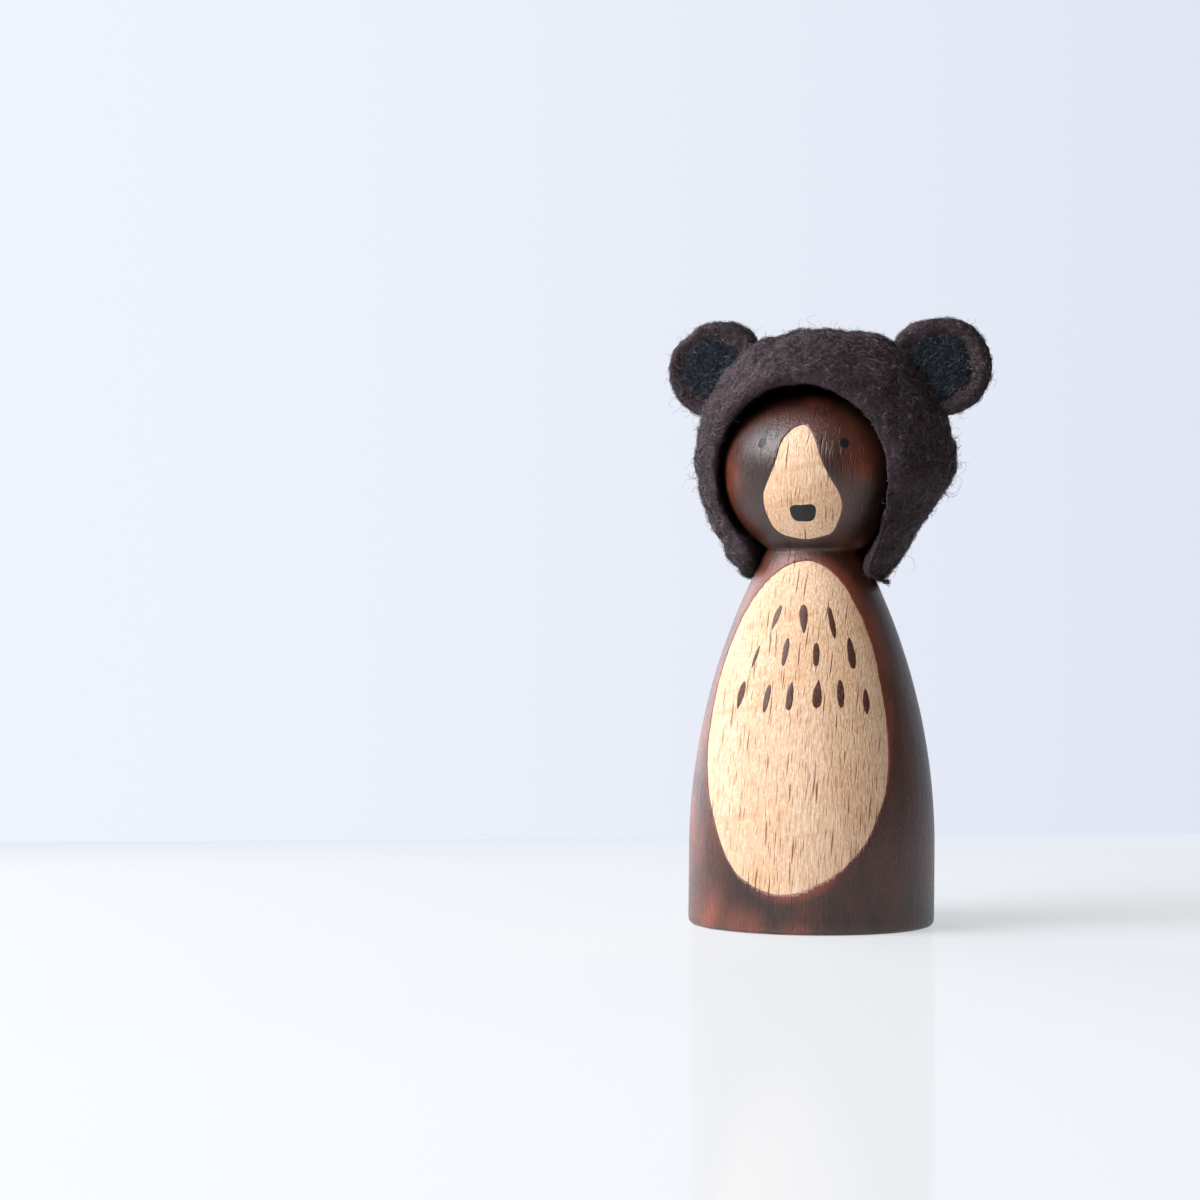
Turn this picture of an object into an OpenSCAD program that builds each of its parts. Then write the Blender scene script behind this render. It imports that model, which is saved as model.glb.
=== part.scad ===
// Turned wooden peg doll painted as a bear, with a thick felted wool bonnet that has two round ears.
// The doll stands on z = 0 with its axis on Z, and its face looks along -Y.
// Left and right are the doll's own, so its left ear is on the +X side.

/* [Peg] */
// Diameter of the peg at its base
base_d = 35; // [31:0.5:40]
// Height of the straight side above the base
side_h = 10.6; // [8:0.2:14]
// Diameter to which the body is drawn in, level with the bottom of the head
neck_d = 15; // [13.5:0.1:16.5]
// Radius of the eased edge round the base
base_edge = 0.8; // [0.4:0.1:1.6]
// Diameter of the head
head_d = 25.9; // [24:0.1:27.5]
// Height of the middle of the head above the base
head_h = 64.8; // [62.5:0.1:67]
// Height of the head's slightly flattened crown above its middle
head_crown = 11.4; // [10.4:0.1:11.9]

/* [Paint] */
// Thickness of the brown coat
coat_t = 0.12; // [0.08:0.01:0.3]
// Thickness of the nose, eyes and fur marks
paint_t = 0.12; // [0.08:0.01:0.3]
// Height at which the brown coat starts, just off the table
coat_start = 0.2; // [0.1:0.05:0.4]
// Width of the bare belly, seen from the front
belly_w = 26; // [20:0.5:28]
// Height of the bottom of the belly
belly_low = 5.5; // [3:0.5:9]
// Height at which the belly is widest
belly_mid = 26.5; // [22:0.5:30]
// Drop from the middle of the head to the top of the belly
belly_drop = 12.8; // [12:0.1:20]
// Turn of the belly away from the face, towards the doll's right
belly_turn = 2.5; // [0:0.5:6]
// Width of the bare muzzle
muzzle_w = 11; // [8:0.2:13]
// Height of the bare muzzle
muzzle_h = 16; // [13:0.2:17]
// Drop from the middle of the head to the bottom of the muzzle
muzzle_drop = 9.7; // [8:0.1:10.5]
// Width of the painted nose
nose_w = 3.7; // [2.5:0.1:5]
// Height of the painted nose
nose_h = 2.4; // [1.6:0.1:3.2]
// Drop from the middle of the head to the middle of the nose
nose_drop = 6; // [4.5:0.1:7]
// Diameter of an eye dot
eye_d = 1.3; // [0.8:0.1:2.2]
// Angle round the head from the middle of the face to each eye
eye_turn = 28.5; // [24:0.5:34]
// Rise from the middle of the head to the eyes
eye_rise = 3.8; // [2.5:0.1:5]
// Length of a fur mark
mark_l = 3.9; // [2.5:0.1:4.4]
// Width of a fur mark
mark_w = 1.3; // [0.6:0.1:1.6]
// Drop from the top of the belly to the top row of fur marks
mark_drop = 8.2; // [7:0.1:10]
// Drop from one row of fur marks to the next
mark_row = 5.3; // [4.8:0.1:5.6]

/* [Bonnet] */
// Thickness of the felt at the sides, outside the head
felt_side = 5.65; // [4.8:0.05:7]
// Distance of the middle of the bonnet behind the middle of the head
bonnet_back = 2.8; // [1.5:0.1:3.6]
// Distance of the middle of the bonnet above the middle of the head
bonnet_up = 1.5; // [0.6:0.1:2.4]
// Sideways set of the bonnet on the head, towards the doll's left
bonnet_shift = 0.7; // [0:0.1:1]
// Turn of the bonnet on the head, towards the doll's right
bonnet_turn = 7; // [0:0.5:12]
// Lean of the bonnet's crown towards the doll's left
bonnet_lean = 5; // [0:0.5:6]
// Nod of the bonnet's hem towards the front
bonnet_nod = 5; // [0:0.5:8]
// Gap between the felt and the painted wood
felt_gap = 0.25; // [0.2:0.01:0.5]
// Room behind the head inside the bonnet
cavity_room = 2.9; // [1.5:0.1:4]
// Angle above level at which the bonnet is drawn back off the head
draw_tilt = 5; // [2:0.5:8]
// Distance of the face opening in front of the middle of the head
mouth_front = 8.2; // [7:0.1:9.5]
// Radius of the face opening's edge, seen from the side
mouth_r = 55; // [45:1:80]
// Depth below the middle of the head at which the face opening's edge lies furthest back
mouth_dip = 2.4; // [0:0.1:5]
// Radius of each flap's front corner
flap_r = 8.5; // [6:0.1:9]
// Depth of the hem below the middle of the head
hem_drop = 16.4; // [15.6:0.1:17]
// Thickness of the felt at the hem, outside the shoulders
hem_t = 0.7; // [0.5:0.1:2]
// Radius of the turn from the cheeks down to the hem, seen from the front
cheek_r = 8; // [6:0.5:8]
// Angle below the middle of the bonnet at which that turn starts
cheek_from = 8; // [4:1:14]

/* [Ears] */
// Diameter of an ear
ear_d = 13.3; // [11:0.1:15]
// Thickness of an ear
ear_t = 3.2; // [2.4:0.1:4]
// Diameter of the dark lining in an ear
lining_d = 10; // [7:0.1:10.4]
// Thickness of the dark lining
lining_t = 1; // [0.7:0.1:1.3]
// Distance of an ear's middle outside the felt
ear_out = 3.3; // [2.4:0.1:4]
// Angle of an ear above level, seen from the front
ear_lift = 37; // [32:0.5:44]
// Angle that an ear looks outwards
ear_splay = 5; // [0:1:14]
// Distance of an ear behind the middle of the bonnet
ear_back = 1.2; // [0:0.1:2.5]

/* [Hidden] */

$fn = 96;
// A shallow dome is a small piece of a large ball, and needs finer steps
dome_steps = 480;
outline_steps = 3;
ellipse_step = 7.5;
arc_step = 4;
// One overrun for every cut, so that no two faces lie on each other there
over = 1;
// Gap between an ear and its lining, small enough to look seated
lining_gap = 0.03;
// Turn of the nose from the middle of the face, towards the doll's left
nose_turn = 1.2;

base_r = base_d / 2;
head_r = head_d / 2;
// The body is drawn in on one arc, upright at the straight side, that ends level with the head's bottom
neck_in = base_r - neck_d / 2;
neck_h = head_h - head_r;
side_r = (pow(neck_h - side_h, 2) + neck_in * neck_in) / (2 * neck_in);
belly_top = head_h - belly_drop;
// The head's upper half turns from its side into the crown on two arcs that meet tangentially
brow_r = head_crown * head_crown / head_r;
brow_x = head_r - brow_r;
crown_dip = (brow_x * brow_x - pow(head_crown - brow_r, 2)) / (2 * (head_crown - brow_r));
crown_r = head_crown + crown_dip;

// Everything painted is out to here, and the felt clears it
felt_clear = coat_t + felt_gap;
felt_r = head_r + felt_clear;
bonnet_r = head_r + felt_side;
hem_h = head_h - hem_drop;
hem_r = body_r(hem_h) + felt_clear + hem_t;
// Level of the hem below the middle of the bonnet
hem_low = hem_drop + bonnet_up;
// Middle of the cheeks' turn, and the angle at which it runs into the straight taper to the hem
cheek_x = (bonnet_r - cheek_r) * cos(cheek_from);
cheek_low = (bonnet_r - cheek_r) * sin(cheek_from);
cheek_reach = sqrt(pow(hem_r - cheek_x, 2) + pow(hem_low - cheek_low, 2));
cheek_to = atan2(hem_low - cheek_low, hem_r - cheek_x) - acos(cheek_r / cheek_reach);
way_out = bonnet_r + head_d;
ear_r = ear_d / 2;
ear_round = ear_t / 2;
lining_dome = 2 * ear_d;

// Half outlines, each point as [half width, height] in shares of the outline's own
muzzle_shares = [[0, 0], [0.56, 0.03], [0.84, 0.13], [1, 0.32], [0.89, 0.47], [0.66, 0.62],
                 [0.51, 0.77], [0.38, 0.9], [0.19, 0.98], [0, 1]];
nose_shares = [[0, 0], [0.5, 0.02], [0.86, 0.3], [1, 0.72], [0.93, 0.97], [0.5, 1], [0, 0.94]];
// Rows of fur marks from the top down. Each mark is its angle round the peg, its lean, its width as a
// share of mark_w, and its rise above the row as a share of its length
mark_row_shares = [
    [[-19, -16, 0.65, 0.05], [2, 4, 1.05, 0.03], [22, 5, 0.7, -0.1]],
    [[-29, -15, 0.55, 0], [-9, -7, 0.7, 0.2], [11, -10, 0.8, 0.13], [34, 0, 1, 0.2]],
    [[-34, -14, 0.95, 0], [-17, -9, 0.8, -0.1], [-4, -9, 0.85, 0.03],
     [12, -5, 1.1, 0.1], [25, -3, 1, 0.08], [39, -5, 0.9, -0.18]]];

// Radius of the body at a height on its curve
function body_r(h) = base_r - side_r + sqrt(side_r * side_r - (h - side_h) * (h - side_h));

// A point between b and c on the smooth curve through a, b, c and d
function blend(a, b, c, d, t) =
    (2 * b + (c - a) * t + (2 * a - 5 * b + 4 * c - d) * t * t + (3 * b - a - 3 * c + d) * t * t * t) / 2;

// The smooth curve through a half outline, from its lowest point to its highest, mirrored at both ends
function half_curve(p) = let (n = len(p) - 1, flip = [[-1, 0], [0, 1]])
    [for (i = [0:n - 1], k = [0:outline_steps - 1])
        blend(i == 0 ? flip * p[1] : p[i - 1], p[i], p[i + 1], i == n - 1 ? flip * p[n - 1] : p[i + 2],
              k / outline_steps)];

// A closed outline from a half outline in shares, w wide and h high, standing on y = 0
function whole_outline(shares, w, h) = let (p = half_curve(shares), n = len(p))
    [for (q = p) [q[0] * w / 2, q[1] * h], [0, h], for (i = [n - 1:-1:1]) [-p[i][0] * w / 2, p[i][1] * h]];

// The belly's outline: two half ellipses that meet where it is widest
function belly_outline() = [for (a = [0:ellipse_step:360 - ellipse_step])
    [cos(a) * belly_w / 2, belly_mid + sin(a) * (sin(a) < 0 ? belly_mid - belly_low : belly_top - belly_mid)]];

// Half section of the body, grown outwards by g
module body_section(g) {
    intersection() {
        union() {
            translate([base_r - side_r, side_h]) circle(side_r + g);
            translate([0, base_edge]) square([base_r + g, side_h - base_edge]);
        }
        translate([0, base_edge]) square([base_r + g, head_h - base_edge]);
    }
    square([base_r - base_edge, base_edge]);
    intersection() {
        translate([base_r - base_edge, base_edge]) circle(base_edge + g);
        translate([base_r - base_edge, 0]) square([base_edge + g, base_edge]);
    }
}

// Half section of the head, grown outwards by g: round below its middle, and flatter above
module head_section(g) {
    reach = 2 * crown_r;
    intersection() {
        circle(head_r + g);
        translate([0, -head_r - g]) square([head_r + g, head_r + g]);
    }
    intersection() {
        union() {
            translate([brow_x, 0]) circle(brow_r + g);
            intersection() {
                translate([0, -crown_dip]) circle(crown_r + g);
                polygon([[0, -crown_dip], [brow_x * reach / crown_dip, reach - crown_dip], [0, reach]]);
            }
        }
        square(head_r + g);
    }
}

// Half section of the whole peg, grown outwards by g
module peg_section(g) {
    body_section(g);
    translate([0, head_h]) head_section(g);
}

// A thin layer on the peg, from one height above the wood to another
module film(low, high) {
    rotate_extrude() difference() {
        peg_section(high);
        peg_section(low);
    }
}

// A prism that runs from the axis out through the front at an angle round the peg
module stamp(turn) {
    rotate([0, 0, turn]) rotate([90, 0, 0]) linear_extrude(base_d) children();
}

module belly_stamp() {
    stamp(-belly_turn) polygon(belly_outline());
}

module muzzle_stamp() {
    stamp(0) translate([0, head_h - muzzle_drop]) polygon(whole_outline(muzzle_shares, muzzle_w, muzzle_h));
}

// The outline of one fur mark, pointed at both ends like a dab of a small brush
module mark_outline(w) {
    arc_r = (mark_l * mark_l / w + w) / 4;
    intersection() {
        translate([arc_r - w / 2, 0]) circle(arc_r);
        translate([w / 2 - arc_r, 0]) circle(arc_r);
    }
}

// The beech peg, turned in one piece with its head
module peg() {
    color("burlywood") rotate_extrude() peg_section(0);
}

// The brown coat, which leaves the belly, the muzzle and the underside bare
module brown_coat() {
    color("saddlebrown") difference() {
        film(0, coat_t);
        translate([-base_d, -base_d, coat_start - base_d]) cube([2 * base_d, 2 * base_d, base_d]);
        belly_stamp();
        muzzle_stamp();
    }
}

// The painted nose, on the bare muzzle
module nose() {
    color("black") intersection() {
        film(0, paint_t);
        stamp(nose_turn) translate([0, head_h - nose_drop - nose_h / 2])
            polygon(whole_outline(nose_shares, nose_w, nose_h));
    }
}

// A painted eye, on the brown coat; side is 1 on the doll's left and -1 on its right
module eye(side) {
    color("black") intersection() {
        film(coat_t, coat_t + paint_t);
        stamp(side * eye_turn) translate([0, head_h + eye_rise]) circle(eye_d / 2);
    }
}

// The rows of painted fur marks, on the bare belly
module chest_marks() {
    color("sienna") intersection() {
        film(0, paint_t);
        for (row = [0:len(mark_row_shares) - 1], mark = mark_row_shares[row])
            stamp(mark[0]) translate([0, belly_top - mark_drop - row * mark_row + mark[3] * mark_l])
                rotate(mark[1]) mark_outline(mark[2] * mark_w);
    }
}

// Puts its children in the bonnet's frame: the middle of the head, turned with the bonnet
module on_head() {
    translate([0, 0, head_h]) rotate([0, 0, -bonnet_turn]) children();
}

// Puts its children at the middle of the bonnet's own ball
module on_ball() {
    on_head() translate([bonnet_shift, bonnet_back, bonnet_up]) children();
}

// A ball whose cheeks turn into a straight taper down to the hem
module bonnet_ball() {
    rotate_extrude() polygon([
        [0, bonnet_r],
        for (a = [90 - arc_step:-arc_step:-cheek_from]) bonnet_r * [cos(a), sin(a)],
        for (a = [cheek_from:arc_step:cheek_to]) [cheek_x, -cheek_low] + cheek_r * [cos(a), -sin(a)],
        [hem_r - over * tan(cheek_to), -hem_low - over],
        [0, -hem_low - over]]);
}

// Side view of the bonnet round the head's middle, with the face opening at the left and the hem below
module bonnet_side() {
    full = 2 * bonnet_r;
    mouth_x = -mouth_front - mouth_r;
    flap_y = flap_r - hem_drop;
    flap_x = mouth_x + sqrt(pow(mouth_r + flap_r, 2) - pow(flap_y + mouth_dip, 2));
    difference() {
        union() {
            translate([-full, flap_y]) square([2 * full, full]);
            translate([flap_x, -hem_drop]) square([full, flap_r]);
            translate([flap_x, flap_y]) circle(flap_r);
        }
        translate([mouth_x, -mouth_dip]) circle(mouth_r);
    }
}

// The outside of the bonnet before it is hollowed
module bonnet_form() {
    intersection() {
        on_ball() rotate([-bonnet_nod, bonnet_lean, 0]) bonnet_ball();
        on_head() rotate([90, 0, 90]) linear_extrude(4 * bonnet_r, center = true) bonnet_side();
    }
}

// Everything that has to be clear of felt: the head with the room behind it, the shoulders, and the way
// on which they leave the bonnet forwards as it is drawn back
module head_room() {
    on_head() rotate([90 + draw_tilt, 0, 0]) translate([0, 0, -cavity_room]) {
        cylinder(h = way_out + cavity_room, r = felt_r);
        sphere(felt_r);
    }
    rotate_extrude() body_section(felt_clear);
    rotate([0, 0, -bonnet_turn]) rotate([90, 0, 0]) linear_extrude(way_out) {
        body_section(felt_clear);
        mirror([1, 0]) body_section(felt_clear);
    }
}

// The felted wool bonnet, open at the face and under the chin
module bonnet() {
    color([0.2, 0.15, 0.14]) difference() {
        bonnet_form();
        head_room();
    }
}

// Puts its children in an ear's frame, with z out through the ear's front
module at_ear(side) {
    reach = bonnet_r + ear_out;
    on_ball() translate([side * reach * cos(ear_lift), ear_back, reach * sin(ear_lift)])
        rotate([0, 0, side * ear_splay]) rotate([90, 0, 0]) children();
}

// A round felt ear, hollowed in front for its lining and felted to the outside of the bonnet
module ear(side) {
    color([0.2, 0.15, 0.14]) difference() {
        at_ear(side) difference() {
            union() {
                cylinder(h = ear_t, r = ear_r - ear_round, center = true);
                rotate_extrude() translate([ear_r - ear_round, 0]) circle(ear_round);
            }
            translate([0, 0, ear_t / 2 - lining_t]) cylinder(h = lining_t + over, r = lining_d / 2);
        }
        on_ball() sphere(bonnet_r);
    }
}

// The dark lining, seated in the hollow of an ear
module ear_lining(side) {
    color([0.08, 0.09, 0.11]) difference() {
        at_ear(side) translate([0, 0, ear_t / 2 - lining_t + lining_gap]) intersection() {
            cylinder(h = lining_t + over, r = lining_d / 2 - lining_gap);
            translate([0, 0, lining_t - lining_dome]) sphere(lining_dome, $fn = dome_steps);
        }
        on_ball() sphere(bonnet_r);
    }
}

peg();
brown_coat();
nose();
eye(1);  // left_eye
eye(-1);  // right_eye
chest_marks();
bonnet();
ear(1);  // left_ear
ear(-1);  // right_ear
ear_lining(1);  // left_ear_lining
ear_lining(-1);  // right_ear_lining
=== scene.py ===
# Turned beech peg doll painted as a bear, with a thick felted wool bonnet that has two round ears.
# Its real sizes are in millimetres here, and one factor turns them to the frame's metres.
import math

import bpy
import numpy as np
from mathutils import Euler, Matrix, Vector, noise
from mathutils.bvhtree import BVHTree


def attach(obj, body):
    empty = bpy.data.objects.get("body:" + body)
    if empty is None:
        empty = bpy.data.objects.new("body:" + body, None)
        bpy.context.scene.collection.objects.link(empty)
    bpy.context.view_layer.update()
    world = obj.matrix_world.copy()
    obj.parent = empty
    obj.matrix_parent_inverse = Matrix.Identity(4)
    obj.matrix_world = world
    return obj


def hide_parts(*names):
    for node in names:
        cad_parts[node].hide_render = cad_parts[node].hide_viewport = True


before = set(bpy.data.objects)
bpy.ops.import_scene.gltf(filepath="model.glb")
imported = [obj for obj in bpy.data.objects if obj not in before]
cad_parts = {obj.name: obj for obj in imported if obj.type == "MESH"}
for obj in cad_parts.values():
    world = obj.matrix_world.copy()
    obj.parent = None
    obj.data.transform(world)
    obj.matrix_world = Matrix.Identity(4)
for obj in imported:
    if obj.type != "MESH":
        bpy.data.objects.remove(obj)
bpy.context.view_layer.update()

# The peg: one piece of beech, turned on a lathe together with its head, and sanded.
# It stays bare at the belly, the muzzle and the underside.
MM = 0.001
base_r = 17.5
base_edge = 0.8
side_h = 10.6
neck_r = 7.5
head_r = 12.95
head_h = 64.8
head_crown = 11.4
neck_fillet = 0.35
peg_columns = 264
row_step = 0.48
# The sanded surface: how far its grain and turning rings stand out, how far apart they lie along x, y and z,
# and over what height they start at the base
relief_depth = 0.03
relief_grain = (0.9, 0.9, 9.0)
relief_rings = (40.0, 40.0, 1.6)
relief_fade = 1.5
# How far over the head's lowest point its own round surface starts, clear of the neck
head_from = 2.0

neck_in = base_r - neck_r
body_arc = ((head_h - head_r - side_h) ** 2 + neck_in ** 2) / (2 * neck_in)
brow_r = head_crown ** 2 / head_r
brow_x = head_r - brow_r
crown_dip = (brow_x ** 2 - (head_crown - brow_r) ** 2) / (2 * (head_crown - brow_r))
crown_r = head_crown + crown_dip
crown_from = crown_r * crown_dip / math.hypot(brow_x, crown_dip) - crown_dip


def root(square):
    """Square root, with everything below zero taken as zero."""
    return np.sqrt(np.clip(square, 0, None))


def peg_radius(z):
    """Radius of the turned peg at a height."""
    z = np.asarray(z, float)
    low = np.clip(base_edge - z, 0, base_edge)
    rise = np.clip(z - side_h, 0, head_h - side_h)
    body = base_r - base_edge + root(base_edge ** 2 - low ** 2) - body_arc + root(body_arc ** 2 - rise ** 2)
    up = z - head_h
    cheeks = root(head_r ** 2 - up ** 2)
    brow = brow_x + root(brow_r ** 2 - up ** 2)
    crown = root(crown_r ** 2 - (up + crown_dip) ** 2)
    head = np.where(up < 0, cheeks, np.where(up < crown_from, brow, crown))
    meet = np.clip(1 - np.abs(body - head) / neck_fillet, 0, 1)
    both = np.maximum(body, head) + neck_fillet * meet ** 2 / 4
    return np.where(up < -head_r, body, np.where(up < 0, both, head))


def soft_noise(points, size, seed=0):
    """Smooth noise from -1 to 1 at each point; size is its grain along x, y and z."""
    scaled = np.asarray(points) / np.asarray(size, float) + 17.3 * seed
    return np.array([noise.noise(Vector(p)) for p in scaled])


def on_peg(turn, z, radius, lift=0.0):
    """Points at angles round the peg from its front, towards the doll's left, raised off the wood by lift."""
    points = np.stack([np.sin(turn) * radius, -np.cos(turn) * radius, z], axis=-1).reshape(-1, 3)
    grain = soft_noise(points, relief_grain, 1)
    rings = soft_noise(points, relief_rings, 2)
    raised = (relief_depth * (0.7 * grain + 0.3 * rings) + lift) * np.clip(points[:, 2] / relief_fade, 0, 1)
    # Off the body it stands out level, and off the head it stands out from the middle of the ball
    on_head = points[:, 2] > head_h - head_r + head_from
    slope = np.where(on_head, np.clip((points[:, 2] - head_h) / head_r, -1, 1), 0)
    out = np.maximum(np.hypot(points[:, 0], points[:, 1]), 1e-6)
    points[:, :2] *= (1 + raised * root(1 - slope ** 2) / out)[:, None]
    points[:, 2] += raised * slope
    return points


def add_piece(name, points, faces, material, body=None, slot=None, node=None):
    """A mesh piece from points in millimetres, smooth shaded, riding on its body."""
    mesh = bpy.data.meshes.new(name)
    mesh.from_pydata([tuple(p) for p in np.asarray(points) * MM], [], [list(f) for f in faces])
    mesh.validate()
    mesh.polygons.foreach_set("use_smooth", [True] * len(mesh.polygons))
    mesh.materials.append(material)
    piece = bpy.data.objects.new(name, mesh)
    bpy.context.scene.collection.objects.link(piece)
    if body:
        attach(piece, body)
    if node:
        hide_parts(node)
    return piece


def srgb(hex_colour):
    """Linear colour of an sRGB hex value."""
    shares = [int(hex_colour[i:i + 2], 16) / 255 for i in (1, 3, 5)]
    return [s / 12.92 if s <= 0.04045 else ((s + 0.055) / 1.055) ** 2.4 for s in shares] + [1.0]


def add_node(owner, kind, inputs=(), output=0, **settings):
    """Adds a node with its settings and what feeds it, by order or by name, and gives back one output.
    A Mix of colours has its share at input 0, its two colours at 6 and 7, and the mixed one at output 2."""
    node = owner.node_tree.nodes.new("ShaderNode" + kind)
    for name, value in settings.items():
        setattr(node, name, value)
    for socket, source in inputs.items() if isinstance(inputs, dict) else enumerate(inputs):
        if isinstance(source, bpy.types.NodeSocket):
            owner.node_tree.links.new(source, node.inputs[socket])
        else:
            node.inputs[socket].default_value = source
    return node.outputs[output]


def new_material(name, roughness, ior):
    """A material with its shader, and with its coordinates in millimetres."""
    material = bpy.data.materials.new(name)
    material.use_nodes = True
    shader = material.node_tree.nodes["Principled BSDF"]
    shader.inputs["Roughness"].default_value = roughness
    shader.inputs["IOR"].default_value = ior
    coords = add_node(material, "TexCoord", output="Object")
    place = add_node(material, "VectorMath", {0: coords, "Scale": 1 / MM}, operation="SCALE")
    return material, shader, place


def finish_surface(material, shader, colour, height, strength, depth):
    """Links a colour and a raised pattern, whose height is in millimetres, to the shader."""
    bump = add_node(material, "Bump", {"Height": height, "Strength": strength, "Distance": depth * MM})
    material.node_tree.links.new(colour, shader.inputs["Base Color"])
    material.node_tree.links.new(bump, shader.inputs["Normal"])


# Beech's grain in millimetres across, into and along the wood: how far apart its large and small flecks lie,
# half their size, and the share of places that have one; then its fibres, its mottle and its slow drift
large_apart, large_half, large_chance = (1.45, 7, 5.2), (0.12, 3.5, 2.4), 0.78
small_apart, small_half, small_chance = (0.66, 5, 2.6), (0.075, 2.5, 1.1), 0.8
fibre_size, mottle_size, drift_size = (0.26, 0.26, 2.2), (0.3, 0.3, 0.6), (3, 3, 6)
# How many millimetres the grain drifts sideways, and how many degrees it leans
grain_drift, grain_lean = 0.5, -3.0


def ray_flecks(wood, place, cell, half, share, seed):
    """Beech's wood rays cut across: slim spindles along the grain, one to a cell, from 0 to 1."""
    per_cell = [1 / c for c in cell]
    scaled = add_node(wood, "VectorMath", (place, per_cell, (seed, seed, seed)), operation="MULTIPLY_ADD")
    middle = add_node(wood, "TexVoronoi", {"Vector": scaled, "Scale": 1.0, "Randomness": 0.9}, "Position")
    chance = add_node(wood, "TexWhiteNoise", {"Vector": middle}, "Value")
    apart = add_node(wood, "VectorMath", (scaled, middle), operation="SUBTRACT")
    shaped = add_node(wood, "VectorMath", (apart, [c / h for c, h in zip(cell, half)]), operation="MULTIPLY")
    length = add_node(wood, "VectorMath", (shaped,), "Value", operation="LENGTH")
    spindle = add_node(wood, "MapRange", (length, 1.0, 0.4, 0.0, 1.0), interpolation_type="SMOOTHSTEP")
    there = add_node(wood, "MapRange", (chance, 1 - share, 1.2 - share, 0.0, 1.0))
    return add_node(wood, "Math", (spindle, there), operation="MULTIPLY")


def beech_grain(wood, place):
    """What bare and painted beech share: large and small flecks, the fibres between them, and a mottle."""
    # The rays run from front to back, so they show as flecks there and fade out on the two sides
    facing = add_node(wood, "SeparateXYZ", (add_node(wood, "TexCoord", output="Normal"),))
    sideways = add_node(wood, "Math", (facing,), operation="ABSOLUTE")
    cut_across = add_node(wood, "MapRange", (sideways, 0.6, 0.98, 1.0, 0.2), interpolation_type="SMOOTHSTEP")
    leaning = add_node(wood, "Mapping", {"Vector": place, "Rotation": (0, math.radians(grain_lean), 0)})
    coarse = add_node(wood, "VectorMath", (leaning, drift_size), operation="DIVIDE")
    drift = add_node(wood, "TexNoise", {"Vector": coarse, "Scale": 1.0, "Detail": 1.0})
    sway = add_node(wood, "VectorMath", {0: (grain_drift, 0, 0), "Scale": drift}, operation="SCALE")
    along = add_node(wood, "VectorMath", (leaning, sway), operation="ADD")
    large = ray_flecks(wood, along, large_apart, large_half, large_chance, 0.0)
    small = ray_flecks(wood, along, small_apart, small_half, small_chance, 5.3)
    large = add_node(wood, "Math", (large, cut_across), operation="MULTIPLY")
    small = add_node(wood, "Math", (small, cut_across), operation="MULTIPLY")
    drawn_out = add_node(wood, "VectorMath", (along, fibre_size), operation="DIVIDE")
    fibres = add_node(wood, "TexNoise", {"Vector": drawn_out, "Scale": 1.0, "Detail": 3.0})
    short = add_node(wood, "VectorMath", (along, mottle_size), operation="DIVIDE")
    return large, small, fibres, add_node(wood, "TexNoise", {"Vector": short, "Scale": 1.0})


# Bare beech, turned and sanded: warm and pale, with short dark flecks along the grain and a silky,
# almost matt surface that shows its fibres as a fine mottle.
# Its patches of tone, its growth rings and how far they lean, and how deep its pattern is
tone_size = (7, 7, 16)
ring_apart, ring_lean = (25, 25, 1.1), 12.0
beech_depth = 0.13
bare_beech, shader, place = new_material("turned_bare_beech", 0.6, 1.45)
large, small, fibres, specks = beech_grain(bare_beech, place)
coarse = add_node(bare_beech, "VectorMath", (place, tone_size), operation="DIVIDE")
patches = add_node(bare_beech, "TexNoise", {"Vector": coarse, "Scale": 1.0})
patches = add_node(bare_beech, "MapRange", (patches, 0.35, 0.65))
wood = add_node(bare_beech, "Mix", {0: patches, 6: srgb("#e2be9a"), 7: srgb("#eed2b4")}, 2, data_type="RGBA")
streaks = add_node(bare_beech, "MapRange", (fibres, 0.34, 0.7, 0.0, 0.7))
light_specks = add_node(bare_beech, "MapRange", (specks, 0.5, 0.72, 0.0, 0.55))
rings = add_node(bare_beech, "Mapping", {"Vector": place, "Rotation": (0, math.radians(ring_lean), 0)})
rings = add_node(bare_beech, "VectorMath", (rings, ring_apart), operation="DIVIDE")
rings = add_node(bare_beech, "TexNoise", {"Vector": rings, "Scale": 1.0, "Detail": 0.0})
rings = add_node(bare_beech, "MapRange", (rings, 0.71, 0.76, 0.0, 0.22))
small_share = add_node(bare_beech, "Math", (small, 0.7), operation="MULTIPLY")
large_share = add_node(bare_beech, "Math", (large, 0.9), operation="MULTIPLY")
# Its darker streaks and pale specks, then faint growth rings across them, and the flecks over everything
for share, colour in ((streaks, "#cb9461"), (light_specks, "#fae6cc"), (rings, "#b98556"),
                      (small_share, "#a36b3b"), (large_share, "#7f4f2c")):
    wood = add_node(bare_beech, "Mix", {0: share, 6: wood, 7: srgb(colour)}, 2, data_type="RGBA")
slits = add_node(bare_beech, "Math", (large, small_share), operation="MAXIMUM")
height = add_node(bare_beech, "Math", (specks, 0.5, fibres), operation="MULTIPLY_ADD")
height = add_node(bare_beech, "Math", (height, slits), operation="SUBTRACT")
finish_surface(bare_beech, shader, wood, height, 0.9, beech_depth)

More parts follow.
